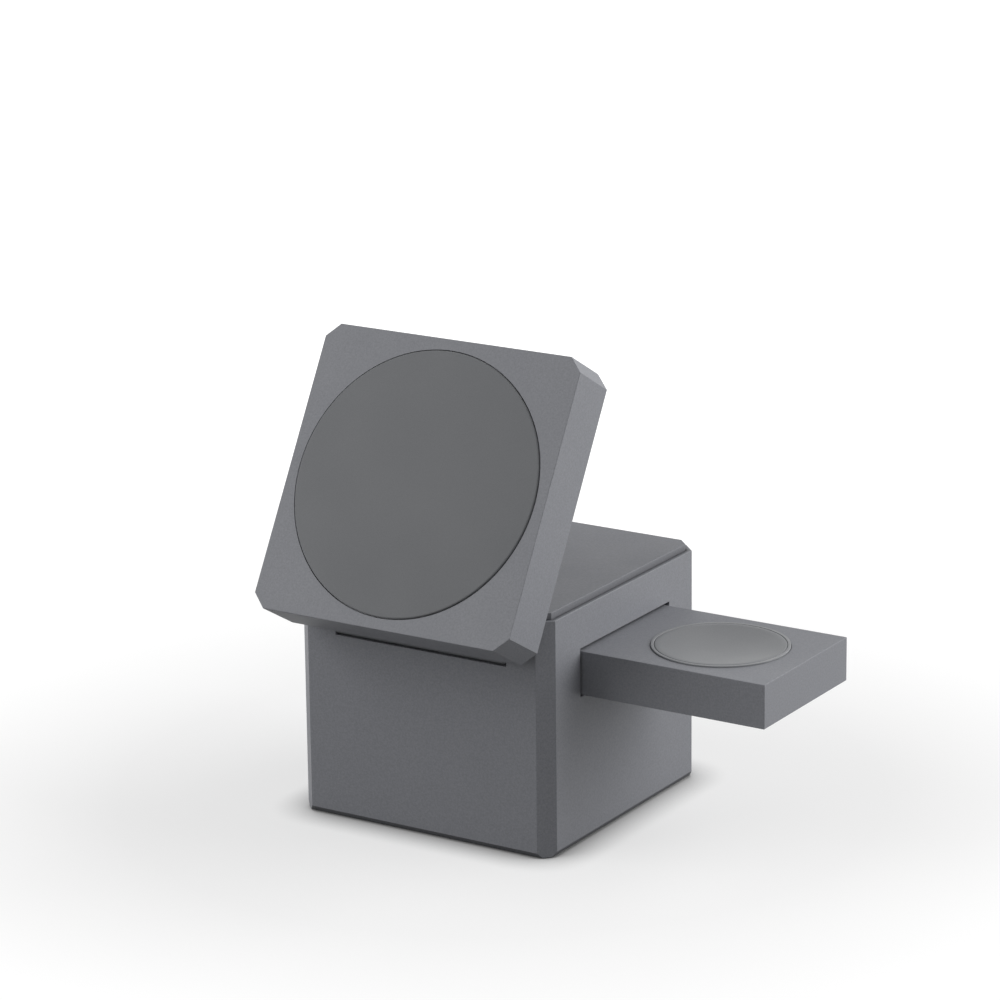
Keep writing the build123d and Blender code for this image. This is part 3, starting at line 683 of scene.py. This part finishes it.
@dataclass
class WatchDrawer(SubAssembly):
    """Sliding drawer with its round dished puck."""

    edge: float = 0.05 * MM
    puck_edge: float = 0.22 * MM
    rim: float = 0.8 * MM
    ring_edge: float = 0.12 * MM
    dish_steps: int = 24

    def build(self) -> None:
        """Round the drawer and its cover, and turn the puck and its trim ring."""
        self.soften(("drawer_shell", "drawer_cover"), self.edge)
        low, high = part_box("watch_puck")
        middle = (low + high) / 2
        place = Matrix.Translation((middle.x, middle.y, low.z))
        radius, top = (high.x - low.x) / 2, high.z - low.z
        dish_low = MOUNTS["watch_dish"]["pos_m"][2] - low.z
        puck = self._puck(radius, top, dish_low)
        self.keep(turned("watch_puck_piece", puck, place, closed=False), "watch_puck")
        self.keep(turned("puck_ring_piece", self._ring(place), place, closed=True), "puck_ring")

    def _ring(self, place: Matrix) -> list[Vector]:
        """Draw the trim ring's profile, measured from the CAD ring.

        Args:
            place: Frame on the puck's axis.

        Returns:
            Closed loop of points.
        """
        points = [place.inverted() @ vert.co for vert in frame["nodes"]["puck_ring"].data.vertices]
        levels = sorted({round(point.z / MM, LEVEL_DIGITS) * MM for point in points})
        low, roof, top = levels[0], levels[1], levels[-1]
        hole = min(point.xy.length for point in points)
        flange = max(point.xy.length for point in points)
        outer = max(point.xy.length for point in points if point.z > (roof + top) / 2)
        return rounded_profile((
            Corner(hole, low), Corner(flange, low), Corner(flange, roof), Corner(outer, roof),
            Corner(outer, top, self.ring_edge), Corner(hole, top, self.ring_edge)))

    def _puck(self, radius: float, top: float, dish_low: float) -> list[Vector]:
        """Draw the puck's profile, a rounded rim round a shallow dish.

        Args:
            radius: Radius of the puck.
            top: Height of the rim.
            dish_low: Height of the middle of the dish.

        Returns:
            Points from the axis below to the axis above.
        """
        rim = rounded_profile((Corner(0, 0), Corner(radius, 0), Corner(radius, top, self.puck_edge),
                               Corner(radius - self.rim, top)))
        reach, depth = radius - self.rim, top - dish_low
        bowl = (reach ** 2 + depth ** 2) / (2 * depth)
        steps = range(1, self.dish_steps + 1)
        radii = [reach * (1 - step / self.dish_steps) for step in steps]
        return rim + [Vector((r, dish_low + bowl - math.sqrt(bowl ** 2 - r ** 2))) for r in radii]


@dataclass
class ScrewSets(SubAssembly):
    """Cross-head screws, measured from the CAD screws and driven along the axis of their body."""

    sides: int = 28
    taper: float = 0.82
    recess_width: float = 0.3
    recess_reach: float = 0.62
    recess_depth: float = 0.6

    def build(self) -> None:
        """Make every group of screws."""
        tree = self._screw_tree()
        for node in [name for name in NODE_SLOT if name.endswith("_screws")]:
            self.keep(self._group(tree, node), node)

    def _group(self, tree: GrowthTree, node: str) -> bpy.types.Object:
        """Make the screws of one node.

        Args:
            tree: Tree that makes a screw on each point.
            node: Name of the node.

        Returns:
            All its screws, as one piece.
        """
        turn = lid_turn() if NODE_BODY[node] == "lid" else Matrix.Identity(3)
        spots, levels, widths = [], [], {}
        form = merged_form(node)
        for solid in islands(form):
            points = [turn.inverted() @ vert.co for vert in solid]
            levels = sorted({round(point.z / MM, LEVEL_DIGITS) for point in points})
            xs = [point.x for point in points]
            ys = [point.y for point in points]
            centre = Vector(((min(xs) + max(xs)) / 2, (min(ys) + max(ys)) / 2, 0))
            for level in (levels[0], levels[-1]):
                ring = [point for point in points if abs(point.z / MM - level) < LEVEL_SLACK]
                widths[level] = max((point.xy - centre.xy).length for point in ring)
            spots.append(centre)
        form.free()
        head_up = widths[levels[-1]] > widths[levels[0]]
        end, tip = (levels[-1], levels[0]) if head_up else (levels[0], levels[-1])
        seat = levels[1]
        flip = Matrix.Identity(3) if head_up else Matrix.Rotation(math.pi, 3, "X")
        seats = [turn @ Vector((spot.x, spot.y, seat * MM)) for spot in spots]
        return tree.grow(node + "_piece", seats, FINISHES[NODE_SLOT[node]], {
            "Head": widths[end], "Rise": abs(end - seat) * MM,
            "Shank": widths[tip], "Bite": abs(seat - tip) * MM, "Turn": (turn @ flip).to_euler()})

    def _screw_tree(self) -> GrowthTree:
        """Make the tree that stands a cross-head screw on each point.

        Returns:
            Tree with the radius and height of head and shank, and the turn, as inputs.
        """
        tree = GrowthTree("cross_head_screws", {
            "Head": "NodeSocketFloat", "Rise": "NodeSocketFloat", "Shank": "NodeSocketFloat",
            "Bite": "NodeSocketFloat", "Turn": "NodeSocketRotation"})
        add, given = tree.sketch.add, tree.given

        def scaled(value: bpy.types.NodeSocket, factor: float) -> bpy.types.NodeSocket:
            """Return a value times a factor."""
            return add("ShaderNodeMath", {0: value, 1: factor}, operation="MULTIPLY").outputs[0]

        def lifted(shape: bpy.types.NodeSocket, height: bpy.types.NodeSocket) -> bpy.types.NodeSocket:
            """Return a shape moved up."""
            move = add("ShaderNodeCombineXYZ", {"Z": height}).outputs[0]
            return add("GeometryNodeTransform", {"Geometry": shape, "Translation": move}).outputs[0]

        head = add("GeometryNodeMeshCone", {
            "Vertices": self.sides, "Radius Top": scaled(given["Head"], self.taper),
            "Radius Bottom": given["Head"], "Depth": given["Rise"]}).outputs["Mesh"]
        shank = add("GeometryNodeMeshCylinder", {
            "Vertices": self.sides, "Radius": given["Shank"], "Depth": given["Bite"]}).outputs["Mesh"]
        shank = lifted(shank, scaled(given["Bite"], -0.5))
        reach = scaled(given["Head"], 2 * self.recess_reach)
        width = scaled(given["Head"], self.recess_width)
        depth = scaled(given["Rise"], 2 * self.recess_depth)
        bars = []
        for x, y in ((reach, width), (width, reach)):
            size = add("ShaderNodeCombineXYZ", {"X": x, "Y": y, "Z": depth}).outputs[0]
            bars.append(lifted(add("GeometryNodeMeshCube", {"Size": size}).outputs["Mesh"], given["Rise"]))
        cut = add("GeometryNodeMeshBoolean", {"Mesh 1": head}, operation="DIFFERENCE", solver="EXACT")
        for bar in bars:
            tree.tree.links.new(bar, cut.inputs["Mesh 2"])
        whole = add("GeometryNodeMeshBoolean", operation="UNION", solver="EXACT")
        for part in (cut.outputs["Mesh"], shank):
            tree.tree.links.new(part, whole.inputs["Mesh 2"])
        screws = add("GeometryNodeInstanceOnPoints", {
            "Points": given["Geometry"], "Instance": whole.outputs["Mesh"], "Rotation": given["Turn"]})
        tree.close(screws.outputs["Instances"])
        return tree


@dataclass
class Windings(SubAssembly):
    """Flat spiral coils of enamelled wire below the three charging faces."""

    wire: float = 0.8 * MM
    round_steps: int = 72
    wire_sides: int = 8

    def build(self) -> None:
        """Wind each coil inside its CAD ring."""
        tree = self._winding_tree()
        for node in ("phone_coil", "earbuds_coil", "watch_coil"):
            self.keep(self._coil(tree, node), node)

    def _coil(self, tree: GrowthTree, node: str) -> bpy.types.Object:
        """Wind one coil.

        Args:
            tree: Tree that winds a coil on each point.
            node: Name of its CAD ring.

        Returns:
            The winding, as one piece.
        """
        turn = lid_turn() if NODE_BODY[node] == "lid" else Matrix.Identity(3)
        points = [turn.inverted() @ vert.co for vert in frame["nodes"][node].data.vertices]
        low = Vector(min(point[axis] for point in points) for axis in range(3))
        high = Vector(max(point[axis] for point in points) for axis in range(3))
        centre = (low + high) / 2
        outer = (high.x - low.x) / 2
        inner = min((point.xy - centre.xy).length for point in points)
        height = high.z - low.z
        layers = max(1, round(height / self.wire))
        wire = height / layers
        heights = [low.z + wire * (layer + 0.5) for layer in range(layers)]
        spots = [turn @ Vector((centre.x, centre.y, level)) for level in heights]
        return tree.grow(node + "_piece", spots, FINISHES[NODE_SLOT[node]], {
            "Inside": inner + wire / 2, "Outside": outer - wire / 2, "Wire": wire / 2,
            "Turns": math.floor((outer - inner) / wire) - 1.0, "Turn": turn.to_euler()})

    def _winding_tree(self) -> GrowthTree:
        """Make the tree that winds a flat spiral on each point.

        Returns:
            Tree with the radii, the wire and the number of turns as inputs.
        """
        tree = GrowthTree("flat_winding", {
            "Inside": "NodeSocketFloat", "Outside": "NodeSocketFloat", "Wire": "NodeSocketFloat",
            "Turns": "NodeSocketFloat", "Turn": "NodeSocketRotation"})
        add, given = tree.sketch.add, tree.given
        spiral = add("GeometryNodeCurveSpiral", {
            "Resolution": self.round_steps, "Rotations": given["Turns"], "Start Radius": given["Inside"],
            "End Radius": given["Outside"], "Height": 0.0})
        section = add("GeometryNodeCurvePrimitiveCircle", {
            "Resolution": self.wire_sides, "Radius": given["Wire"]})
        wound = add("GeometryNodeCurveToMesh", {
            "Curve": spiral.outputs["Curve"], "Profile Curve": section.outputs["Curve"], "Fill Caps": True})
        coils = add("GeometryNodeInstanceOnPoints", {
            "Points": given["Geometry"], "Instance": wound.outputs["Mesh"], "Rotation": given["Turn"]})
        tree.close(coils.outputs["Instances"])
        return tree


def lid_turn() -> Matrix:
    """Return the turn of the open lid from lying flat."""
    axis = MOUNTS["phone_face"]["axis"]
    return Matrix.Rotation(math.atan2(-axis[1], axis[2]), 3, "X")


def islands(form: bmesh.types.BMesh) -> list[list[bmesh.types.BMVert]]:
    """Sort the points of a mesh by the solid that they belong to.

    Args:
        form: Mesh with one or more separate solids.

    Returns:
        The points of each solid.
    """
    left = set(form.verts)
    found = []
    while left:
        queue = [left.pop()]
        solid = []
        while queue:
            vert = queue.pop()
            solid.append(vert)
            near = {edge.other_vert(vert) for edge in vert.link_edges} & left
            left -= near
            queue.extend(near)
        found.append(solid)
    return found


class Softbox(Enum):
    """Lamps of the studio."""

    KEY = "key"
    FILL = "fill"


@dataclass(frozen=True)
class Lamp:
    """Square lamp that faces the object."""

    box: Softbox
    way: Place
    distance: float
    side: float
    watts: float


@dataclass
class Studio:
    """White floor, soft lamps and an even sky."""

    floor_side: float = 8.0
    floor_bounce: float = 0.12
    floor_white: float = 0.4
    near_glow: float = 0.57
    far_glow: float = 1.0
    near: float = 0.08
    far: float = 0.3
    # Reach and cut-off of the painted contact shadow on the floor.
    contact: float = 0.008
    contact_dark: float = 0.35
    sky: float = 0.3
    aim: Place = (0.01, 0.0, 0.045)
    lamps: tuple[Lamp, ...] = (
        Lamp(Softbox.KEY, (0.78, 0.62, 0.47), 1.2, 1.3, 16.0),
        Lamp(Softbox.FILL, (-0.7, -0.64, 0.5), 1.0, 0.8, 5.4),
    )

    def build(self) -> None:
        """Set up the floor, the lamps and the sky."""
        self._floor()
        for lamp in self.lamps:
            self._lamp(lamp)
        self._sky()

    @staticmethod
    def _seen(sketch: NodeSketch) -> bpy.types.NodeSocket:
        """Tell apart the rays that show the floor or sky itself, in a mirror or glass too.

        Args:
            sketch: Tree of the floor's material or of the sky.

        Returns:
            1 for those rays, 0 for the others.
        """
        path = sketch.add("ShaderNodeLightPath").outputs
        direct = {0: path["Is Camera Ray"], 1: path["Is Glossy Ray"]}
        gloss = sketch.add("ShaderNodeMath", direct, operation="MAXIMUM")
        through = {0: gloss.outputs[0], 1: path["Is Transmission Ray"]}
        return sketch.add("ShaderNodeMath", through, operation="MAXIMUM").outputs[0]

    def _floor(self) -> None:
        """Lay the floor, which shows white, keeps the cast shadow and has a painted contact shadow near the
        object.
        """
        half = self.floor_side / 2
        mesh = bpy.data.meshes.new("studio_floor")
        corners = [(-half, -half, 0), (half, -half, 0), (half, half, 0), (-half, half, 0)]
        mesh.from_pydata(corners, [], [(0, 1, 2, 3)])
        floor = new_object("studio_floor", mesh)
        material = bpy.data.materials.new("studio_white")
        material.use_nodes = True
        material.node_tree.nodes.clear()
        sketch = NodeSketch(material.node_tree)
        bounce = sketch.add("ShaderNodeBsdfDiffuse", {"Color": (*[self.floor_bounce] * 3, 1.0)})
        white = sketch.add("ShaderNodeBsdfDiffuse", {"Color": (*[self.floor_white] * 3, 1.0)})
        point = sketch.add("ShaderNodeTexCoord").outputs["Object"]
        away = sketch.add("ShaderNodeVectorMath", {0: point}, operation="LENGTH").outputs["Value"]
        level = sketch.add("ShaderNodeMapRange", {
            "Value": away, "From Min": self.near, "From Max": self.far, "To Min": self.near_glow,
            "To Max": self.far_glow})
        # Painted contact shadow: ambient occlusion dims the floor's glow near the object.
        open_sky = sketch.add("ShaderNodeAmbientOcclusion", {"Distance": self.contact}).outputs["AO"]
        contact = sketch.add("ShaderNodeMapRange", {"Value": open_sky, "From Min": self.contact_dark})
        strength = {0: level.outputs["Result"], 1: contact.outputs["Result"]}
        glow = sketch.add("ShaderNodeEmission", {
            "Strength": sketch.add("ShaderNodeMath", strength, operation="MULTIPLY").outputs[0]})
        shown = sketch.add("ShaderNodeAddShader", {0: white.outputs[0], 1: glow.outputs[0]})
        mix = sketch.add("ShaderNodeMixShader", {
            0: self._seen(sketch), 1: bounce.outputs[0], 2: shown.outputs[0]})
        sketch.add("ShaderNodeOutputMaterial", {"Surface": mix.outputs[0]})
        mesh.materials.append(material)

    def _lamp(self, lamp: Lamp) -> None:
        """Hang one lamp, turned to the object.

        Args:
            lamp: Its way from the object, size and power.
        """
        light = bpy.data.lights.new("lamp_" + lamp.box.value, "AREA")
        light.energy = lamp.watts
        light.size = lamp.side
        holder = bpy.data.objects.new("lamp_" + lamp.box.value, light)
        bpy.context.scene.collection.objects.link(holder)
        way = Vector(lamp.way).normalized()
        holder.location = Vector(self.aim) + way * lamp.distance
        holder.rotation_euler = way.to_track_quat("Z", "Y").to_euler()
        holder.visible_camera = False

    def _sky(self) -> None:
        """Light evenly from all round, and show white where the floor ends."""
        world = bpy.data.worlds.new("studio_sky")
        bpy.context.scene.world = world
        world.use_nodes = True
        sketch = NodeSketch(world.node_tree)
        back = world.node_tree.nodes["Background"]
        back.inputs["Color"].default_value = (1.0, 1.0, 1.0, 1.0)
        level = sketch.add("ShaderNodeMapRange", {
            "Value": self._seen(sketch), "To Min": self.sky, "To Max": 1.0})
        sketch.feed(back.inputs["Strength"], level.outputs["Result"])


@dataclass
class PhotoCamera:
    """Camera at the photograph's place, for a square picture."""

    place: Place = (0.4489, -0.7121, 0.3114)
    azimuth: float = 32.201
    elevation: float = 16.443
    roll: float = -0.676
    lens: float = 155.03
    sensor: float = 36.0
    near_clip: float = 0.01

    def build(self) -> None:
        """Stand the camera and make it the scene's own."""
        lens = bpy.data.cameras.new("photo_camera")
        lens.lens, lens.sensor_width, lens.sensor_fit = self.lens, self.sensor, "HORIZONTAL"
        lens.clip_start = self.near_clip
        stand = bpy.data.objects.new("photo_camera", lens)
        bpy.context.scene.collection.objects.link(stand)
        turn = (Matrix.Rotation(math.radians(self.azimuth), 4, "Z")
                @ Matrix.Rotation(math.radians(90 - self.elevation), 4, "X")
                @ Matrix.Rotation(math.radians(self.roll), 4, "Z"))
        stand.matrix_world = Matrix.Translation(self.place) @ turn
        bpy.context.scene.camera = stand


def dress_cad_nodes() -> None:
    """Give every CAD node that still shows its finish."""
    for node, piece in frame["nodes"].items():
        material = FINISHES[NODE_SLOT[node]].material()
        piece.data.materials.clear()
        piece.data.materials.append(material)
        LOG.info("%s takes finish %s", node, NODE_SLOT[node])


def main() -> None:
    """Build and dress every sub-assembly, then the studio and the camera."""
    logging.basicConfig(level=logging.INFO, format="%(name)s: %(message)s")
    bpy.context.scene.view_settings.view_transform = "Standard"
    dress_cad_nodes()
    parts = (BaseHousing(), HingeGroup(), PowerInlet(), PhoneLid(), WatchDrawer(), ScrewSets(), Windings())
    for part in parts:
        part.build()
        part.dress()
    Studio().build()
    PhotoCamera().build()


if __name__ == "__main__":
    main()
